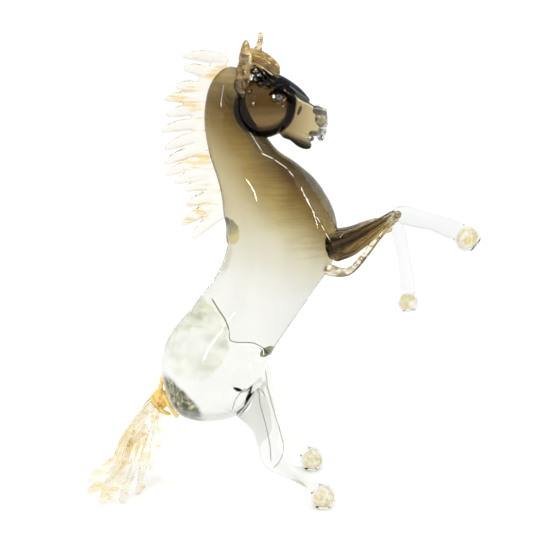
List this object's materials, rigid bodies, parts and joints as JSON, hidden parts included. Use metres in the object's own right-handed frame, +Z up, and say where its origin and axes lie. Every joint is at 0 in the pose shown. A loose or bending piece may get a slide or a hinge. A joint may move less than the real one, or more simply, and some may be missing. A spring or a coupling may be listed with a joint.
{
  "type": "glass horse figurine",
  "caption": "Hot-worked solid glass figurine of a rearing horse, smoke-brown to clear, with gold-leaf mane, tail and hooves; it stands on its hind hooves and tail.",
  "frame": {"origin": "on the surface it stands on, under the middle of its outline seen from above", "axes": "+X the way the horse faces, +Z up, its left side at +Y"},
  "size_m": [0.2955, 0.09, 0.354],
  "materials": {
    "clear_glass": "polished",
    "smoke_glass": "polished",
    "smoke_core_glass": "polished",
    "dark_glass": "polished",
    "gold_leaf_glass": "polished",
    "gold_streak_glass": "polished"
  },
  "bodies": {
    "root": {"body_gather": "clear_glass", "muzzle": "clear_glass", "near_nostril": "clear_glass", "far_nostril": "clear_glass", "near_fore_shank": "clear_glass", "far_fore_shank": "clear_glass", "near_thigh": "clear_glass", "far_thigh": "clear_glass", "near_hind_shank": "clear_glass", "far_hind_shank": "clear_glass", "mane_ridge": "clear_glass", "neck_gather": "smoke_glass", "jowl": "smoke_glass", "face": "smoke_glass", "lower_jaw": "smoke_glass", "near_forearm": "smoke_glass", "far_forearm": "smoke_glass", "smoke_core": "smoke_core_glass", "near_eye": "dark_glass", "far_eye": "dark_glass", "near_fore_hoof": "gold_leaf_glass", "far_fore_hoof": "gold_leaf_glass", "near_hind_hoof": "gold_leaf_glass", "far_hind_hoof": "gold_leaf_glass", "tail_knot": "gold_leaf_glass", "crown_bit": "gold_streak_glass", "near_ear": "gold_streak_glass", "far_ear": "gold_streak_glass", "forelock_1": "gold_streak_glass", "forelock_2": "gold_streak_glass", "forelock_3": "gold_streak_glass", "mane_lock_01": "gold_streak_glass", "mane_lock_02": "gold_streak_glass", "mane_lock_03": "gold_streak_glass", "mane_lock_04": "gold_streak_glass", "mane_lock_05": "gold_streak_glass", "mane_lock_06": "gold_streak_glass", "mane_lock_07": "gold_streak_glass", "mane_lock_08": "gold_streak_glass", "mane_lock_09": "gold_streak_glass", "mane_lock_10": "gold_streak_glass", "mane_lock_11": "gold_streak_glass", "mane_lock_12": "gold_streak_glass", "mane_lock_13": "gold_streak_glass", "mane_lock_14": "gold_streak_glass", "tail_lock_1": "gold_streak_glass", "tail_lock_2": "gold_streak_glass", "tail_lock_3": "gold_streak_glass", "tail_lock_4": "gold_streak_glass", "tail_lock_5": "gold_streak_glass", "tail_lock_6": "gold_streak_glass", "tail_lock_7": "gold_streak_glass"}
  },
  "joints": []
}
